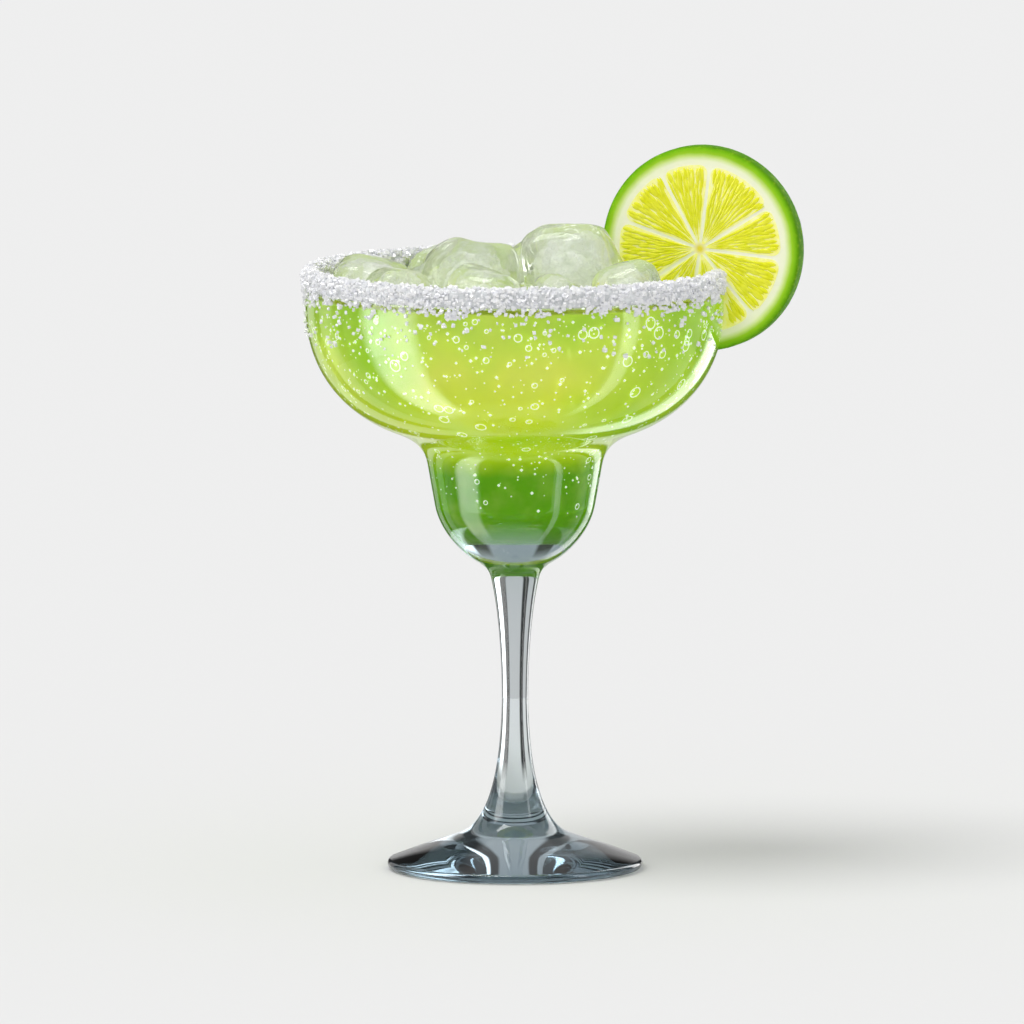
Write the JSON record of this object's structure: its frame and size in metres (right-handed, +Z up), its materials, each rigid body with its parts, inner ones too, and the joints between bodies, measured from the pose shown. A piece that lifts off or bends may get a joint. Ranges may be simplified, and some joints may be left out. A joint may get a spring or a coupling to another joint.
{
  "type": "margarita cocktail",
  "caption": "Stemmed margarita glass with a wide bowl over a small lower cup, filled with lime-green drink and ice, salt on the rim and a lime wheel slotted over it.",
  "frame": {"origin": "middle of the foot's underside, on the glass's axis", "axes": "+Z up along the stem, +X towards the lime wheel, -Y towards the viewer of the picture"},
  "size_m": [0.1346, 0.1155, 0.1945],
  "materials": {
    "glass": "clear and polished",
    "drink": "cloudy liquid",
    "ice": "wet, half clear",
    "lime": "wet cut fruit with green peel",
    "salt": "coarse white crystals"
  },
  "bodies": {
    "root": {"glass": "glass", "drink": "drink", "ice_right_tall": "ice", "ice_centre_tall": "ice", "ice_left": "ice", "ice_left_front": "ice", "ice_front": "ice", "ice_front_point": "ice", "ice_right_front": "ice", "ice_back": "ice", "ice_back_left": "ice", "lime_wheel": "lime", "salt_rim": "salt"}
  },
  "joints": []
}
